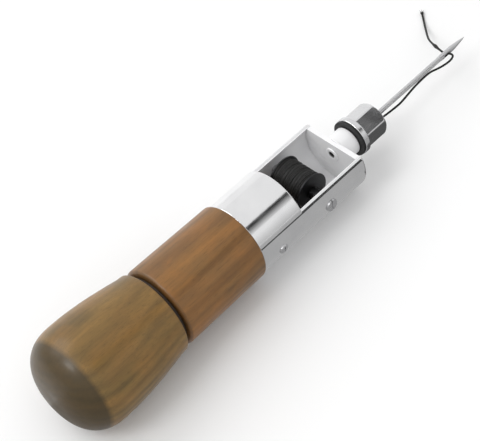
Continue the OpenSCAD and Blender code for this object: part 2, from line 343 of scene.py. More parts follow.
def from_axis(shader):
    """Distance of the shaded point from the tool's axis, in metres."""
    spot = shader.add("VectorMath", {"operation": "SUBTRACT"})
    shader.put(spot, 0, shader.add("TexCoord").outputs["Object"])
    shader.put(spot, 1, TOOL.start)
    along = shader.add("VectorMath", {"operation": "DOT_PRODUCT"})
    shader.put(along, 0, spot.outputs[0])
    shader.put(along, 1, FORWARD)
    back = shader.add("VectorMath", {"operation": "SCALE"})
    shader.put(back, 0, FORWARD)
    shader.put(back, "Scale", along.outputs["Value"])
    out = shader.add("VectorMath", {"operation": "SUBTRACT"})
    shader.put(out, 0, spot.outputs[0])
    shader.put(out, 1, back.outputs[0])
    length = shader.add("VectorMath", {"operation": "LENGTH"})
    shader.put(length, 0, out.outputs[0])
    return length.outputs["Value"]


def metal(name, color, roughness, dullness, scratch=0.15):
    """Plated or brushed metal: smears and fine scratches in its gloss and its relief."""
    shader = Shader(name)
    smears = shader.noise((160, 160, 160), detail=3)
    base = shader.ramp(smears, [(0.3, tuple(c * 0.94 for c in color)), (0.7, color)])
    scratches = shader.noise((300, 5200, 5200), detail=2)
    gloss = shader.mix(0.35, smears, scratches)
    shader.set(Base_Color=base, Metallic=1.0,
               Roughness=shader.between(gloss, roughness, roughness + dullness))
    shader.bump(scratches, 0.02 * MM, scratch)
    return shader.material


def chrome():
    """Chrome plate: bright outside, duller inside the housing, and dark in its holes, which is painted
    shade with some wax from the thread.
    """
    shader = Shader("chrome")
    smears = shader.noise((160, 160, 160), detail=3)
    scratches = shader.noise((300, 5200, 5200), detail=2)
    gloss = shader.mix(0.35, smears, scratches)
    outside = shader.between(gloss, 0.09, 0.17)
    cast = shader.noise((900, 900, 900), detail=3)
    inside = shader.between(cast, 0.34, 0.46)
    reach = from_axis(shader)
    inner_r = TOOL.radii("cradle")[0]
    is_outer = fill_range(shader.add("MapRange", Value=reach),
                          inner_r + 0.1 * MM, inner_r + 0.5 * MM, 0.0, 1.0)
    # Painted shade: points nearer the axis than the eyelet's bore are painted near black. This stands for
    # the shade deep in the bores, with some wax from the thread.
    bore = TOOL.radii("thread_eyelet")[0]
    bore_shade_and_wax = fill_range(shader.add("MapRange", Value=reach), bore, bore + 0.35 * MM, 0.0, 1.0)
    base = shader.ramp(smears, [(0.3, (0.83, 0.83, 0.84)), (0.7, (0.88, 0.88, 0.885))])
    base = shader.mix(bore_shade_and_wax, (0.012, 0.011, 0.010, 1.0), base)
    plated = fill_range(shader.add("MapRange", Value=is_outer), 0.0, 1.0, 0.12, 1.0)
    shader.set(Base_Color=base, Metallic=plated, Roughness=shader.mix(is_outer, inside, outside))
    shader.bump(shader.mix(is_outer, cast, scratches), 0.02 * MM, 0.15)
    return shader.material


def wood(name, dark, middle, light, glow, end, end_grain_and_shade_amount, ring_scale, offset):
    """Turned, varnished hardwood with its grain along the tool, and a darker end that is partly end grain
    and partly painted shade.
    """
    shader = Shader(name)
    heart = shader.add("Mapping", Vector=shader.coordinates((0.10, 1, 1)), Location=offset)
    rings = shader.add("TexWave", {"wave_type": "RINGS", "rings_direction": "X"},
                       Vector=heart.outputs[0], Scale=ring_scale, Distortion=5.0, Detail=3.0)
    tone = shader.ramp(rings.outputs["Fac"], [(0.0, dark), (0.5, middle), (1.0, light)])
    clouds = shader.noise((34, 80, 80), detail=5, distortion=1.2)
    tone = shader.mix(shader.between(clouds, 0.0, 0.75), tone, (*glow, 1.0))
    shade = shader.noise((42, 120, 120), detail=4, roughness=0.6)
    tone = shader.mix(shader.between(shade, 0.55, 0.0), tone, (*dark, 1.0))
    streaks = shader.noise((36, 760, 760), detail=5, roughness=0.62)
    tone = shader.mix(shader.between(streaks, 0.32, 0.0), tone, (*end, 1.0))
    flecks = shader.noise((300, 4200, 4200), detail=2, roughness=0.6)
    marks = shader.ramp(flecks, [(0.34, (1, 1, 1)), (0.42, (0, 0, 0))])
    tone = shader.mix(shader.times(marks, 0.32), tone, (*end, 1.0))
    # Partly painted shade: where the surface faces back along the tool, its colour turns to the dark end
    # colour. This is end grain, and also the shade on the knob's domed end.
    facing = shader.add("VectorMath", {"operation": "DOT_PRODUCT"})
    shader.put(facing, 0, shader.add("NewGeometry").outputs["Normal"])
    shader.put(facing, 1, -FORWARD)
    end_grain_and_shade = fill_range(shader.add("MapRange", Value=facing.outputs["Value"]), 0.30, 0.44, 0.0, end_grain_and_shade_amount)
    tone = shader.mix(end_grain_and_shade, tone, (*end, 1.0))
    haze = shader.noise((140, 140, 140), detail=4)
    shader.set(Base_Color=tone, Roughness=shader.between(haze, 0.36, 0.52),
               Coat_Weight=0.25, Coat_Roughness=0.22, Specular_IOR_Level=0.3)
    shader.bump(shader.mix(0.5, flecks, streaks), 0.05 * MM, 0.3)
    return shader.material


def thread_material():
    """Black waxed thread: fibres in its relief, wax in its gloss."""
    shader = Shader("waxed_thread")
    fibres = shader.noise((2600, 2600, 2600), detail=4, roughness=0.7)
    wax = shader.noise((700, 700, 700), detail=3)
    tone = shader.ramp(fibres, [(0.3, (0.004, 0.004, 0.004)), (0.75, (0.022, 0.021, 0.020))])
    shader.set(Base_Color=tone, Roughness=shader.between(wax, 0.50, 0.72), Specular_IOR_Level=0.35)
    shader.bump(fibres, 0.04 * MM, 0.6)
    return shader.material


def rubber(name, low, high):
    """A matte dark washer with a fine cast skin."""
    shader = Shader(name)
    skin = shader.noise((1500, 1500, 1500), detail=5, roughness=0.6)
    shader.set(Base_Color=shader.ramp(skin, [(0.3, low), (0.7, high)]),
               Roughness=shader.between(skin, 0.5, 0.75))
    shader.bump(skin, 0.03 * MM, 0.4)
    return shader.material


KNOB_WOOD = wood("knob_wood", (0.140, 0.088, 0.026), (0.206, 0.126, 0.034), (0.250, 0.148, 0.039),
                 (0.350, 0.165, 0.034), (0.041, 0.028, 0.010), 0.84, 90, (0, 0.013, 0.021))
HANDLE_WOOD = wood("handle_wood", (0.140, 0.074, 0.026), (0.208, 0.110, 0.036), (0.262, 0.134, 0.040),
                   (0.370, 0.148, 0.028), (0.058, 0.032, 0.013), 0.35, 130, (0, -0.009, 0.017))
CHROME = chrome()
BRIGHT_STEEL = metal("bright_steel", (0.62, 0.62, 0.63), 0.20, 0.14, scratch=0.3)
NUT_STEEL = metal("nut_steel", (0.74, 0.74, 0.75), 0.14, 0.10, scratch=0.2)
BLACK_STEEL = metal("blackened_steel", (0.045, 0.045, 0.047), 0.38, 0.14, scratch=0.3)
BRASS = metal("brass_bush", (0.72, 0.52, 0.24), 0.22, 0.15, scratch=0.25)
THREAD = thread_material()
GROOVE_RUBBER = rubber("dark_washer", (0.020, 0.011, 0.007), (0.045, 0.026, 0.016))
BLACK_PAINT = rubber("black_washer", (0.006, 0.006, 0.006), (0.016, 0.016, 0.016))


# ---------- thread ----------

THREAD_D = 0.74 * MM
THREAD_ROUTE = [
    (48.3, -1.2, 11.1), (49.6, -1.2, 10.9), (51.9, -1.3, 10.5), (55.9, -1.4, 10),
    (59.5, -1.4, 9.7), (63.5, -1.1, 9.9), (66.3, -0.9, 10.1), (69, -0.8, 10.2),
    (72, -0.7, 10.1), (75, -0.8, 9.9), (77.3, -1.1, 9.3), (79.7, -1.4, 8.7),
    (82.2, -1.7, 8.4), (84, -1.9, 8.7), (84.9, -1.9, 9.5), (84.7, -1.5, 10.3),
    (84.1, -0.8, 10.7), (83.8, 0, 10.7), (83.6, 1.2, 10.6), (84.2, 3.4, 10),
    (85.2, 5.8, 8.9), (86.5, 8.6, 7.4), (88.3, 11.7, 5.4), (90.5, 14.6, 3.6),
    (92.7, 17.2, 2.1), (94.8, 19.7, 1), (96.6, 21.8, 0.5), (98.8, 24.4, 0.4),
]
SWOLLEN_POINT = 20               # the twist has come loose here, so the thread is thicker
FEED_SLOT = math.radians(225)    # the collet's slot that the thread leaves by
FEED_ROUTE = [
    (44.6, 0), (47, 0), (50, 0), (52.8, 0), (54.2, 0.2), (55.3, 0.8), (56.4, 1.4),
    (57.8, 1.65), (61, 1.65), (64.4, 1.65),
]


def make_thread():
    """The free thread, from the nut's mouth through the needle's eye to its knot."""
    steps = 9
    line = curve_through([Vector(p) * MM for p in THREAD_ROUTE], steps)
    swollen_at = run_lengths(line)[SWOLLEN_POINT * steps]

    def size_at(s):
        return THREAD_D / 2 + 0.24 * MM * math.exp(-((s - swollen_at) / (1.9 * MM)) ** 2)

    bm = bmesh.new()
    twisted_tube(bm, line, size_at, 2.3 * MM)
    piece = make_piece("free_thread", bm, THREAD, "awl", ["thread_free"], sharp=80)
    knot = make_knot(line[-1], (line[-1] - line[-2]).normalized())
    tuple(line[0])


def make_knot(end, direction):
    """A small tight knot with three short frayed ends."""
    middle = end + Vector((0.3, 0.4, 0.25)) * MM
    side = direction.cross(Vector((0, 0, 1))).normalized()
    top = side.cross(direction)
    loop = []
    for a in full_turn(72):
        u = math.sin(a) + 2 * math.sin(2 * a)
        v = math.cos(a) - 2 * math.cos(2 * a)
        loop.append(middle + (side * u + direction * v) * (0.13 * MM) - top * (0.2 * MM * math.sin(3 * a)))
    bm = bmesh.new()
    twisted_tube(bm, loop, lambda s: 0.27 * MM, 1.1 * MM, sides=16, loop=True)
    for lean, rise in ((-0.5, 0.10), (0.1, 0.22), (0.6, 0.05)):
        tip = middle + (direction + side * lean + top * rise).normalized() * (1.5 * MM)
        hair = [middle.lerp(tip, i / 6) for i in range(7)]
        twisted_tube(bm, hair, lambda s: max(0.16 * MM - 0.09 * s, 0.03 * MM), 1.5 * MM, sides=8)
    return make_piece("thread_end_knot", bm, THREAD, "awl", ["thread_knot"], sharp=80)


def make_feed():
    """The thread inside the nose, which leaves the collet by one of its slots."""
    route = [at(x * MM, r * MM * math.cos(FEED_SLOT), r * MM * math.sin(FEED_SLOT)) for x, r in FEED_ROUTE]
    bm = bmesh.new()
    twisted_tube(bm, curve_through(route, 8), lambda s: THREAD_D / 2, 2.3 * MM)
    make_piece("thread_in_nose", bm, THREAD, "awl", ["thread_feed"], sharp=80)


# ---------- wooden handle ----------

KNOB_DOME_POWER = 2.57
STORE_PITCH = 2.0 * MM
STORE_THREAD_DEPTH = 0.35 * MM


def knob_side_points(x0, r0, x1, r1, steps=14):
    """The knob's side, which swells from its front edge to its widest ring."""
    for i in range(1, steps + 1):
        yield x0 + (x1 - x0) * i / steps, r0 + (r1 - r0) * math.sin(math.pi / 2 * i / steps)


def knob_dome_points(x0, r0, x1, steps=40):
    """The knob's domed end, a little squarer than an ellipse."""
    for i in range(1, steps + 1):
        a = math.pi / 2 * i / steps
        yield (x0 + (x1 - x0) * math.sin(a) ** (2 / KNOB_DOME_POWER),
               r0 * max(math.cos(a), 0.0) ** (2 / KNOB_DOME_POWER) if i < steps else 0.0)


def make_knob():
    """The palm knob, with a bore for its bush and for the end of the needle tube."""
    end, front = TOOL.span("palm_knob")
    bush_x = TOOL.span("knob_insert")[0]
    bush_r = TOOL.radii("knob_insert")[1]
    bore_end = TOOL.span("needle_tube")[0] - 1.5 * MM
    bore_r = TOOL.radii("needle_tube")[1] + 0.5 * MM
    widest = TOOL.radii("palm_knob")[1]
    front_r = 14.6 * MM
    widen_x = front - 27.7 * MM
    outline = [(bore_end, 0), (bore_end, bore_r), (bush_x, bore_r), (bush_x, bush_r), (front, bush_r)]
    outline += arc(front - 0.8 * MM, front_r - 0.6 * MM, 0.8 * MM, 0, 70)
    outline += knob_side_points(front - 0.8 * MM, front_r, widen_x, widest)
    outline += knob_dome_points(widen_x, widest, end)
    bm = bmesh.new()
    lathe(bm, outline, at, steps=192)
    make_piece("knob_wood", bm, KNOB_WOOD, "knob", ["palm_knob"])


def make_handle():
    """The wooden middle, with a bore for the needle tube and a spigot inside the collar."""
    rear, spigot_end = TOOL.span("handle_body")
    rear_r = TOOL.radii("handle_body", rear, -1 * MM)[1]
    front_r = TOOL.radii("collar")[1] + 0.7 * MM
    spigot_r = TOOL.radii("handle_body", 1 * MM)[1]
    bore_end = TOOL.span("needle_tube")[1]
    bore_r = TOOL.radii("needle_tube")[1] + 0.05 * MM
    outline = [(bore_end, 0), (bore_end, bore_r), (rear, bore_r)]
    outline += arc(rear + 1.2 * MM, rear_r - 1.2 * MM, 1.2 * MM, 180, 90)
    outline += arc(-0.8 * MM, front_r - 0.8 * MM, 0.8 * MM, 90, 0)
    outline += [(0, spigot_r), (spigot_end - 0.5 * MM, spigot_r), (spigot_end, spigot_r - 0.5 * MM)]
    outline += [(spigot_end, 0)]
    bm = bmesh.new()
    lathe(bm, outline, at, steps=192)
    make_piece("handle_wood", bm, HANDLE_WOOD, "awl", ["handle_body"])


def ring_point(x, r, a):
    """A point round the tool's axis. Angles run from the left, over the top."""
    return at(x, r * math.cos(a), r * math.sin(a))


def ring_outline(x0, x1, r_in, r_out, edge):
    """The closed outline of a ring with its outer edges rounded."""
    return ([(x0, r_in)] + arc(x0 + edge, r_out - edge, edge, 180, 90)
            + arc(x1 - edge, r_out - edge, edge, 90, 0) + [(x1, r_in)])


def make_ring(name, node, line, material, body, edge=0.15 * MM):
    """A plain ring in the place and size of its CAD node."""
    x0, x1 = line.span(node)
    r_in, r_out = line.radii(node)
    bm = bmesh.new()
    lathe(bm, ring_outline(x0, x1, r_in, r_out, edge), line.at, steps=96, ring=True)
    make_piece(name, bm, material, body, [node])


def threaded_ring(bm, x0, x1, r_top, depth, pitch, r_other, inside=False, per_turn=10):
    """A ring between x0 and x1 with a screw thread on one side and r_other on the other."""
    count = int((x1 - x0) / pitch * per_turn)
    steps = 96
    screw = []
    for i, x in enumerate(evenly(x0, x1, count)):
        fade = min(i, count - i, per_turn) / per_turn
        row = []
        for a in full_turn(steps):
            phase = (x / pitch - a / (2 * math.pi)) % 1.0
            ridge = depth * fade * abs(2 * phase - 1)
            row.append(ring_point(x, r_top + ridge if inside else r_top - ridge, a))
        screw.append(row)
    cover(bm, [circle(at, x0, r_other, steps)] + screw + [circle(at, x1, r_other, steps)], ring=True)


def make_store_tube():
    """The needle store: a plain steel tube, threaded where the knob screws on."""
    x0, x1 = TOOL.span("needle_tube")
    r_in, r_out = TOOL.radii("needle_tube")
    thread_end = TOOL.span("handle_body")[0] + 4 * MM
    bm = bmesh.new()
    threaded_ring(bm, x0, thread_end, r_out, STORE_THREAD_DEPTH, STORE_PITCH, r_in)
    lathe(bm, ring_outline(thread_end, x1, r_in, r_out, 0.1 * MM), at, ring=True)
    make_piece("store_tube", bm, BRIGHT_STEEL, "awl", ["needle_tube"])


def make_bush():
    """The brass bush in the knob, threaded inside."""
    x0, x1 = TOOL.span("knob_insert")
    r_in, r_out = TOOL.radii("knob_insert")
    bm = bmesh.new()
    threaded_ring(bm, x0, x1, r_in, STORE_THREAD_DEPTH, STORE_PITCH, r_out, inside=True)
    make_piece("knob_bush", bm, BRASS, "knob", ["knob_insert"])


# ---------- metal housing ----------

RIM_CHAMFER = (0.48 * MM, 0.40 * MM)
SCREW_DROP = math.radians(9)
SCREW_HEAD_R = 1.7 * MM
SCREW_SHANK_R = 0.9 * MM


def edge_steps(x0, x1, rear_edge, front_edge):
    """Places along a shell, with how far its outside is drawn in at its two rounded ends."""
    turns = evenly(0, math.pi / 2, 5)
    start = [(x0 + rear_edge * (1 - math.sin(a)), rear_edge * (1 - math.cos(a))) for a in reversed(turns)]
    middle = [(x, 0.0) for x in evenly(x0, x1, 40)[1:-1]]
    finish = [(x1 - front_edge * (1 - math.sin(a)), front_edge * (1 - math.cos(a))) for a in turns]
    return start + middle + finish


def rim_corner(r, z, width, height):
    """The ends of a chamfer, as (y, z) points, between a circle of radius r and a level rim at z."""
    return [(math.sqrt(r * r - (z - height) ** 2), z - height), (math.sqrt(r * r - z * z) - width, z)]


def trough_loop(x, r_out, r_in, inner_size):
    """A cross-section of the cradle at x: round outside and inside, with chamfered level rims."""
    right = rim_corner(r_out, RIM_Z, *RIM_CHAMFER)
    first = math.atan2(right[0][1], right[0][0])
    steps = 120
    outer = [(r_out * math.cos(a), r_out * math.sin(a))
             for a in evenly(math.pi - first, 2 * math.pi + first, steps)[1:-1]]
    lean = math.asin(RIM_Z / r_in)
    inner_y = r_in * math.cos(lean)
    lip = [(inner_y + inner_size, RIM_Z), (inner_y + 0.3 * inner_size, RIM_Z - 0.3 * inner_size)]
    low = math.asin((RIM_Z - inner_size) / r_in)
    inner = [(r_in * math.cos(a), r_in * math.sin(a))
             for a in evenly(2 * math.pi + low, math.pi - low, steps)]
    left = [(-y, z) for y, z in reversed(right)]
    points = left + outer + right + lip + inner + [(-y, z) for y, z in reversed(lip)]
    return [at(x, y, z) for y, z in points]


def make_cradle():
    """The lower shell: a trough with level rims, a rounded front edge and its axle hole."""
    x0, x1 = TOOL.span("cradle")
    r_in, r_out = TOOL.radii("cradle")
    loops = [trough_loop(x, r_out - drawn_in, r_in, 0.2 * MM)
             for x, drawn_in in edge_steps(x0, x1, 0.3 * MM, 0.7 * MM)]
    bm = bmesh.new()
    loft(bm, loops)
    piece = make_piece("cradle_shell", bm, CHROME, "awl", ["cradle"], sharp=28)
    drill = bmesh.new()
    hole_r = 1.45 * MM
    outline = [(0.5 * r_out, 0), (0.5 * r_out, hole_r), (2 * r_out, hole_r), (2 * r_out, 0)]
    lathe(drill, outline, AXLE.at, steps=48)
    cut_away(piece, drill)


def make_collar():
    """The closed collar: a ring on the wood, and the saddle that stands on the cradle's rims."""
    x0, x1 = TOOL.span("collar")
    r_in, r_out = TOOL.radii("collar")
    tube_r = TOOL.radii("cradle")[0] - 0.05 * MM
    saddle_z = RIM_Z + 0.05 * MM
    inner_r = tube_r - 0.3 * MM
    inner_edge = math.asin(saddle_z / inner_r)
    steps = 96
    loops = []
    for x, drawn_in in edge_steps(x0, x1, 0.3 * MM, 0.5 * MM):
        r = r_out - drawn_in
        outer_edge = math.asin(saddle_z / r)
        outer = [ring_point(x, r, a) for a in evenly(outer_edge, math.pi - outer_edge, steps)]
        inner = [ring_point(x, inner_r, a) for a in evenly(math.pi - inner_edge, inner_edge, steps)]
        loops.append(outer + inner)
    bm = bmesh.new()
    loft(bm, loops)
    lathe(bm, ring_outline(x0, x1 - 0.02 * MM, r_in, tube_r, 0.1 * MM), at, ring=True)
    make_piece("collar_shell", bm, CHROME, "awl", ["collar"], bevel=0.2 * MM)


def make_screws():
    """Two slotted screws with low round heads, one on each side."""
    low, high = TOOL.span("ferrule_screws")
    r_shell = TOOL.radii("cradle")[1]
    seat = r_shell - 0.5 * MM
    rim = r_shell + 0.15 * MM
    head = [(seat, 0), (seat, SCREW_HEAD_R), (rim, SCREW_HEAD_R)]
    head += [(rim + 0.6 * MM * math.sin(a), SCREW_HEAD_R * math.cos(a))
             for a in evenly(0, math.pi / 2, 10)[1:-1]]
    head += [(rim + 0.6 * MM, 0)]
    shank = [(6 * MM, 0), (6 * MM, SCREW_SHANK_R), (seat, SCREW_SHANK_R), (seat, 0)]
    bm = bmesh.new()
    for side in (-1, 1):
        out = LEFT * side * math.cos(SCREW_DROP) - UP * math.sin(SCREW_DROP)
        line = Line(at((low + high) / 2), out, FORWARD)
        slotted_head(bm, head, line, 0.2 * MM, r_shell + 0.42 * MM)
        lathe(bm, shank, line.at, steps=32)
    make_piece("housing_screws", bm, BRIGHT_STEEL, "awl", ["ferrule_screws"])


def slotted_head(bm, outline, line, half_width, floor):
    """A turned head with a straight slot: points inside the slot are pressed to its floor."""
    part = bmesh.new()
    lathe(part, outline, line.at, steps=64)
    for cut in (-half_width, half_width):
        geom = part.verts[:] + part.edges[:] + part.faces[:]
        bmesh.ops.bisect_plane(part, geom=geom, plane_co=line.at(0, cut), plane_no=line.side)
    for v in part.verts:
        out = v.co - line.start
        if abs(out.dot(line.side)) < half_width * 0.99 and out.dot(line.along) > floor:
            v.co -= line.along * (out.dot(line.along) - floor)
    copy = bpy.data.meshes.new("slotted")
    part.to_mesh(copy)
    part.free()
    bm.from_mesh(copy)
    bpy.data.meshes.remove(copy)


# ---------- nose and chuck ----------

STUB_PITCH = 0.8 * MM
STUB_THREAD_DEPTH = 0.22 * MM
HEX_TURN = math.radians(34)
HEX_CORNER_R = 0.55 * MM


def cut_circle(x, r, angles):
    """A circle round the axis, cut flat at the rim's height."""
    return [ring_point(x, min(r, RIM_Z / math.sin(a)) if math.sin(a) > 0 else r, a) for a in angles]


def make_nose():
    """The front wall with its hole, the neck and the threaded stub."""
    x0, stub_end = TOOL.span("nose_piece")
    wall_end = TOOL.span("cradle")[1]
    wall_r = TOOL.radii("cradle")[0] - 0.05 * MM
    hole_r = 1.75 * MM
    neck_x = TOOL.span("lock_washer")[0] - 0.2 * MM
    neck_r = TOOL.radii("nose_piece", wall_end + 1 * MM, neck_x)[1]
    edge = math.asin(RIM_Z / wall_r)
    angles = sorted(full_turn(180) + [edge, math.pi - edge])
    rows = [
        [ring_point(x0, hole_r, a) for a in angles], cut_circle(x0, wall_r, angles),
        cut_circle(wall_end - 0.02 * MM, wall_r, angles), [ring_point(wall_end, hole_r, a) for a in angles],
    ]
    bm = bmesh.new()
    cover(bm, rows, ring=True)
    bore = 1.3 * MM
    fillet = 0.45 * MM
    foot = arc(wall_end + fillet, neck_r + fillet, fillet, 180, 270)
    neck = [(wall_end - 0.5 * MM, bore), (wall_end - 0.5 * MM, neck_r + fillet)] + foot
    neck += arc(neck_x - 0.4 * MM, neck_r - 0.4 * MM, 0.4 * MM, 90, 0) + [(neck_x, bore)]
    lathe(bm, neck, at, ring=True)
    stub_r = TOOL.radii("nose_piece", neck_x + 1 * MM)[1]
    collet_r = TOOL.radii("collet")[1] + 0.05 * MM
    threaded_ring(bm, neck_x - 0.1 * MM, stub_end, stub_r, STUB_THREAD_DEPTH, STUB_PITCH, collet_r,
                  per_turn=8)
    make_piece("nose", bm, CHROME, "awl", ["nose_piece"], bevel=0.1 * MM)


def make_eyelet():
    """A bright lip round the hole that leads the thread through the front wall."""
    x0, x1 = TOOL.span("thread_eyelet")
    bore, flange = TOOL.radii("thread_eyelet")
    lip = 0.4 * MM
    outline = [(x1, bore), (x1, bore + 0.7 * MM), (x0 + lip, bore + 0.7 * MM), (x0 + lip, flange)]
    outline += arc(x0 + lip, flange - lip, lip, 90, 180)
    outline += arc(x0 + 0.5 * MM, bore + 0.5 * MM, 0.5 * MM, 180, 270)
    bm = bmesh.new()
    lathe(bm, outline, at, steps=96, ring=True)
    make_piece("eyelet", bm, CHROME, "awl", ["thread_eyelet"])


def hex_radius(a, flat):
    """Distance from the axis to a hexagon with rounded corners, whose flats are at flat."""
    sixth = math.pi / 3
    off = (a - HEX_TURN) % sixth
    from_corner = min(off, sixth - off)
    from_flat = sixth / 2 - from_corner
    round_from = math.atan((flat - HEX_CORNER_R) * math.tan(sixth / 2) / flat)
    if from_flat <= round_from:
        return flat / math.cos(from_flat)
    centre = (flat - HEX_CORNER_R) / math.cos(sixth / 2)
    return (centre * math.cos(from_corner)
            + math.sqrt(HEX_CORNER_R ** 2 - (centre * math.sin(from_corner)) ** 2))


def make_nut():
    """The chuck nut: a round flange, a hexagon with a turned front, and its bore."""
    x0, x1 = TOOL.span("chuck_nut")
    mouth_r, flange_r = TOOL.radii("chuck_nut")
    flat = 5.3 * MM
    flange_x = x0 + 2.2 * MM
    stub_end = TOOL.span("nose_piece")[1] + 0.8 * MM
    stub_r = 4.05 * MM
    crown = 1.5 * MM
    crown_r = 6.1 * MM
    angles = full_turn(288)
    rows = [(x, r, False) for x, r in arc(x0 + 0.35 * MM, flange_r - 0.35 * MM, 0.35 * MM, 180, 90)]
    rows += [(x, r, False) for x, r in arc(flange_x - 0.7 * MM, flange_r - 0.7 * MM, 0.7 * MM, 90, 10)]
    rows += [(flange_x, 6.6 * MM, True), (flange_x + 0.15 * MM, 6.6 * MM, True)]
    rows += [(x, r, True) for x, r in arc(x1 - crown, crown_r - crown, crown, 90, 8, steps=12)]
    rows += [(x, r, False) for x, r in arc(x1 - 0.4 * MM, mouth_r + 0.4 * MM, 0.4 * MM, 0, -90)]
    rows += [(stub_end + 2.3 * MM, mouth_r, False), (stub_end, 3.5 * MM, False)]
    rows += [(stub_end, stub_r, False), (x0, stub_r, False)]
    loops = [[ring_point(x, min(r, hex_radius(a, flat)) if is_hex else r, a) for a in angles]
             for x, r, is_hex in rows]
    bm = bmesh.new()
    cover(bm, loops, ring=True)
    make_piece("chuck_nut_hex", bm, NUT_STEEL, "nut", ["chuck_nut"], sharp=40)


# ---------- needle ----------

SHANK_END = 63.4 * MM
SHAFT_R = 0.85 * MM
POINT_LENGTH = 5.2 * MM
EYE_X = 99.8 * MM
EYE_HALF_LENGTH = 1.4 * MM
EYE_HALF_WIDTH = 0.46 * MM
BLADE_REACH = 3.4 * MM           # the shaft widens and flattens this far each way from the eye
GROOVE_START = 68 * MM
GROOVE_HALF_WIDTH = 0.28 * MM
GROOVE_DEPTH = 0.32 * MM


def blade_share(x):
    """How much of the eye's blade the needle has at x, from 0 to 1."""
    return math.exp(-((x - EYE_X) / BLADE_REACH) ** 4)


def needle_size(x, tip, shank_r):
    """Radius of the needle: shank, shaft, the eye's blade, and the point."""
    if x < SHANK_END:
        return shank_r
    if x > tip - POINT_LENGTH:
        return SHAFT_R * max((tip - x) / POINT_LENGTH, 0.0) ** 0.75
    step = min((x - SHANK_END) / (0.8 * MM), 1.0)
    return shank_r + (SHAFT_R - shank_r) * step + 0.15 * MM * blade_share(x)


def needle_ring(x, r, steps=56):
    """A cross-section: flat on two sides at the eye, and grooved on the right."""
    flat = blade_share(x)
    half = r * (1 - flat) + min(r, 0.75 * MM) * flat
    run_in = min(max((x - GROOVE_START) / (2 * MM), 0.0), 1.0)
    run_out = min(max((EYE_X - 1.2 * MM - x) / (0.5 * MM), 0.0), 1.0)
    row = []
    for a in full_turn(steps):
        y = max(-half, min(half, r * math.cos(a)))
        z = r * math.sin(a)
        if y < 0 and abs(z) < GROOVE_HALF_WIDTH:
            y += GROOVE_DEPTH * run_in * run_out * math.cos(math.pi / 2 * z / GROOVE_HALF_WIDTH) ** 0.5
        row.append(at(x, y, z))
    return row


def make_needle():
    """The needle, whose shank sits in the collet, with its groove and its eye."""
    start, tip = TOOL.span("needle")
    shank_r = TOOL.radii("needle", start, start + 2 * MM)[1]
    places = [start, start + 0.01 * MM]
    x = SHANK_END - 0.01 * MM
    while x < tip - 0.3 * MM:
        places.append(x)
        x += 0.5 * MM
    places += [tip - 0.25 * MM, tip - 0.1 * MM, tip - 0.03 * MM]
    loops = [needle_ring(x, needle_size(x, tip, shank_r)) for x in places] + [[at(tip)]]
    bm = bmesh.new()
    bm.faces.new(cover(bm, loops)[0])
    piece = make_piece("sewing_needle", bm, BRIGHT_STEEL, "awl", ["needle"])
    cutter = bmesh.new()
    loops = []
    for y in (-2 * MM, 2 * MM):
        loop = []
        for a in full_turn(40):
            end = (EYE_HALF_LENGTH - EYE_HALF_WIDTH) * (1 if math.cos(a) > 0 else -1)
            loop.append(at(EYE_X + end + EYE_HALF_WIDTH * math.cos(a), y, EYE_HALF_WIDTH * math.sin(a)))
        loops.append(loop)
    loft(cutter, loops)
    cut_away(piece, cutter)


def cut_away(piece, cutter):
    """Cuts the cutter's closed shape out of a piece and keeps the piece's shading."""
    bmesh.ops.recalc_face_normals(cutter, faces=cutter.faces)
    data = bpy.data.meshes.new("cutter")
    cutter.to_mesh(data)
    cutter.free()
    tool = bpy.data.objects.new("cutter", data)
    bpy.context.scene.collection.objects.link(tool)
    away = piece.modifiers.new("away", "BOOLEAN")
    away.object = tool
    away.operation = "DIFFERENCE"
    away.solver = "EXACT"
    bpy.context.view_layer.update()
    graph = bpy.context.evaluated_depsgraph_get()
    result = bpy.data.meshes.new_from_object(piece.evaluated_get(graph))
    piece.modifiers.remove(away)
    piece.data = result
    bpy.data.objects.remove(tool)
    result.set_sharp_from_angle(angle=math.radians(32))


# ---------- bobbin ----------

def make_spool():
    """The bobbin's core and two thin flanges, as one turned piece."""
    y0, y1 = AXLE.span("bobbin_spool")
    bore, disc_r = AXLE.radii("bobbin_spool")
    disc = 0.6 * MM
    core = 2.6 * MM
    edge = 0.25 * MM
    outline = [(y0, bore)] + arc(y0 + edge, disc_r - edge, edge, 180, 90)
    outline += arc(y0 + disc - edge, disc_r - edge, edge, 90, 0) + [(y0 + disc, core), (y1 - disc, core)]
    outline += arc(y1 - disc + edge, disc_r - edge, edge, 180, 90)
    outline += arc(y1 - edge, disc_r - edge, edge, 90, 0)
    outline += [(y1, bore)]
    bm = bmesh.new()
    lathe(bm, outline, AXLE.at, steps=160, ring=True)
    make_piece("spool", bm, BLACK_STEEL, "bobbin", ["bobbin_spool"])


def make_winding():
    """Turns of thread side by side, some of them a little proud of the others."""
    y0, y1 = AXLE.span("bobbin_winding")
    r_in, r_out = AXLE.radii("bobbin_winding")
    turns = int((y1 - y0) / THREAD_D)
    pitch = (y1 - y0) / turns
    per_turn, steps = 12, 160
    loops = [circle(AXLE.at, y0, r_in, steps)]
    for y in evenly(y0, y1, turns * per_turn):
        loop = []
        for a in full_turn(steps):
            lay = 0.35 * math.sin(a + 1.7 * y / MM) + a / (2 * math.pi)
            place = (y - y0) / pitch + lay
            strand = math.floor(place)
            across = 2 * (place - strand) - 1
            proud = 0.16 * MM * math.sin(strand * 2.4) * math.sin(a * 2 + strand)
            ply = 0.03 * MM * math.cos(9 * math.pi * across + a * 110)
            hill = math.sqrt(max(1 - across * across, 0.0))
            r = r_out - 0.45 * MM + 0.28 * MM * hill + proud + ply * hill
            loop.append(AXLE.at(y, r * math.cos(a), r * math.sin(a)))
        loops.append(loop)
    bm = bmesh.new()
    cover(bm, loops + [circle(AXLE.at, y1, r_in, steps)], ring=True)
    make_piece("wound_thread", bm, THREAD, "bobbin", ["bobbin_winding"], sharp=70)


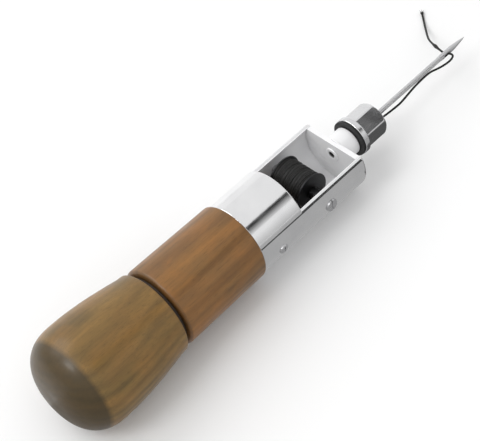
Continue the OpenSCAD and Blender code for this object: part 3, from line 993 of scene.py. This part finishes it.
def make_axle():
    """The screw that the bobbin turns on, with a slotted head on the right."""
    y0, y1 = AXLE.span("bobbin_axle")
    head_r = AXLE.radii("bobbin_axle")[1]
    rod_r = 1.4 * MM
    line = Line(AXLE.start, -LEFT, FORWARD)
    head_in = -y0 - 0.75 * MM
    outline = [(-y1, 0), (-y1, rod_r - 0.2 * MM), (-y1 + 0.2 * MM, rod_r), (head_in, rod_r)]
    outline += [(head_in, head_r)] + arc(-y0 - 0.3 * MM, head_r - 0.3 * MM, 0.3 * MM, 90, 0) + [(-y0, 0)]
    bm = bmesh.new()
    slotted_head(bm, outline, line, 0.25 * MM, -y0 - 0.35 * MM)
    make_piece("axle_screw", bm, BRIGHT_STEEL, "awl", ["bobbin_axle"])


def make_spring():
    """Two turns of wire that press the tension washer against the bobbin."""
    y0, y1 = AXLE.span("tension_spring")
    wire = 0.25 * MM
    coil_r = AXLE.radii("tension_spring")[1] - wire
    turns, steps = 2, 96
    angles = evenly(0, 2 * math.pi * turns, steps)
    places = evenly(y0 + wire, y1 - wire, steps)
    line = [AXLE.at(y, coil_r * math.cos(a), coil_r * math.sin(a)) for y, a in zip(places, angles)]
    bm = bmesh.new()
    twisted_tube(bm, line, lambda s: wire, 1.0, plies=0, sides=12)
    make_piece("brake_spring", bm, BRIGHT_STEEL, "awl", ["tension_spring"])


# ---------- studio ----------

def make_floor():
    """A large sheet of pale paper that the tool lies on."""
    data = bpy.data.meshes.new("floor")
    half = 3.0
    corners = [(-half, -half, 0), (half, -half, 0), (half, half, 0), (-half, half, 0)]
    data.from_pydata(corners, [], [(0, 1, 2, 3)])
    shader = Shader("floor_paper")
    mottle = shader.noise((3, 3, 3), detail=2)
    shader.set(Base_Color=shader.ramp(mottle, [(0.3, (0.86, 0.86, 0.86)), (0.7, (0.88, 0.88, 0.88))]),
               Roughness=0.9, Specular_IOR_Level=0.1)
    data.materials.append(shader.material)
    floor = bpy.data.objects.new("floor", data)
    bpy.context.scene.collection.objects.link(floor)


def make_card(name, corners, low, high, strength=1.0):
    """A studio card that only reflections see, brighter from its first edge to its second."""
    data = bpy.data.meshes.new(name)
    data.from_pydata(corners, [], [(0, 1, 2, 3)])
    layer = data.uv_layers.new(name="across")
    for loop, uv in zip(layer.data, ((0, 0), (1, 0), (1, 1), (0, 1))):
        loop.uv = uv
    shader = Shader(name + "_paint")
    place = shader.add("SeparateXYZ", Vector=shader.add("TexCoord").outputs["UV"]).outputs["Y"]
    tone = shader.ramp(place, [(0.3, (low,) * 3), (1.0, (high,) * 3)])
    shader.set(Base_Color=(0, 0, 0, 1), Specular_IOR_Level=0.0,
               Emission_Color=tone, Emission_Strength=strength)
    data.materials.append(shader.material)
    card = bpy.data.objects.new(name, data)
    bpy.context.scene.collection.objects.link(card)
    card.visible_camera = False
    card.visible_diffuse = False
    card.visible_shadow = False


def make_world():
    """A bright studio all round, a little darker near the horizon."""
    world = bpy.data.worlds.new("studio")
    bpy.context.scene.world = world
    world.use_nodes = True
    tree = world.node_tree
    place = tree.nodes.new("ShaderNodeTexCoord")
    split = tree.nodes.new("ShaderNodeSeparateXYZ")
    ramp = tree.nodes.new("ShaderNodeValToRGB")
    tree.links.new(place.outputs["Generated"], split.inputs[0])
    tree.links.new(split.outputs["Z"], ramp.inputs[0])
    tree.links.new(ramp.outputs[0], tree.nodes["Background"].inputs[0])
    points = ramp.color_ramp.elements
    points[0].position, points[0].color = 0.0, (0.55, 0.55, 0.55, 1)
    points[1].position, points[1].color = 0.45, (0.92, 0.92, 0.92, 1)
    tree.nodes["Background"].inputs[1].default_value = 0.95


def make_light(name, place, size, power):
    """A soft square light that points at the middle of the tool."""
    data = bpy.data.lights.new(name, "AREA")
    data.size = size
    data.energy = power
    light = bpy.data.objects.new(name, data)
    bpy.context.scene.collection.objects.link(light)
    light.location = place
    light.rotation_euler = (at(0) - place).to_track_quat("-Z", "Y").to_euler()


def card_from(middle, low_way, high_way, distance, half):
    """Corners of a card that lies along the tool, between two directions from its middle."""
    low, high = middle + low_way.normalized() * distance, middle + high_way.normalized() * distance
    return [low - FORWARD * half, low + FORWARD * half, high + FORWARD * half, high - FORWARD * half]


def floor_card(x0, x1, y0, y1, height):
    """Corners of a level card just over the floor, with its first edge at y0."""
    return [(x0, y0, height), (x1, y0, height), (x1, y1, height), (x0, y1, height)]


def make_studio():
    """The world, the floor, two lights and the cards that the metal reflects."""
    make_world()
    make_floor()
    make_light("key", Vector((-0.25, 0.75, 0.85)), 0.8, 4.0)
    make_light("lamp", Vector((-0.75, 0.10, 0.98)), 0.45, 3.0)
    low_way = FORWARD * 0.4 - LEFT * 0.70 + UP * 0.56
    high_way = FORWARD * 0.4 - LEFT * 0.40 + UP * 0.81
    make_card("dark_card", card_from(at(20 * MM), high_way, low_way, 0.9, 0.45), 0.03, 0.68)
    # Painted shadow: a grey sheet on the floor beside the tool, seen only in reflections and darkest near
    # the tool, stands for the tool's shadow on the floor.
    make_card("painted_floor_shadow_card", floor_card(-0.5, 0.6, 0.012, -0.7, 0.0004), 0.42, 0.62)
    # Painted shadow: a dark sheet on the floor under the nut, seen only in reflections, stands for the
    # contact shadow between the tool and the floor.
    make_card("shade_card", floor_card(0.036, 0.075, 0.0, -0.02, 0.0008), 0.10, 0.10)
    corners = [(-0.2, 0.9, 0.0004), (1.4, 0.9, 0.0004), (1.4, 0.9, 0.5), (-0.2, 0.9, 0.5)]
    make_card("light_card", corners, 0.95, 0.95)
    over = at(-60 * MM) + Vector((-0.606, 0.086, 0.791)) * 1.2
    corners = [over + Vector((x, y, 0)) for x, y in ((-0.2, -0.2), (0.2, -0.2), (0.2, 0.2), (-0.2, 0.2))]
    make_card("glow_card", corners, 1.0, 1.0, strength=6.0)
    bpy.context.scene.view_settings.view_transform = "Standard"


make_thread()
make_feed()
make_knob()
make_bush()
make_ring("groove_ring", "groove_washer", TOOL, GROOVE_RUBBER, "knob_carrier", edge=0.3 * MM)
make_handle()
make_store_tube()
make_cradle()
make_collar()
make_screws()
make_nose()
make_eyelet()
make_ring("nut_washer", "lock_washer", TOOL, BLACK_PAINT, "nut_carrier")
make_nut()
make_needle()
make_spool()
make_winding()
make_axle()
make_ring("axle_sleeve", "spacer_sleeve", AXLE, BLACK_STEEL, "awl")
make_ring("brake_washer", "tension_washer", AXLE, BRIGHT_STEEL, "awl", edge=0.1 * MM)
make_spring()

for node in ("collet", "spare_straight_needle", "spare_curved_needle"):
    NODES[node].data.materials.clear()
    NODES[node].data.materials.append(BRIGHT_STEEL)

make_studio()
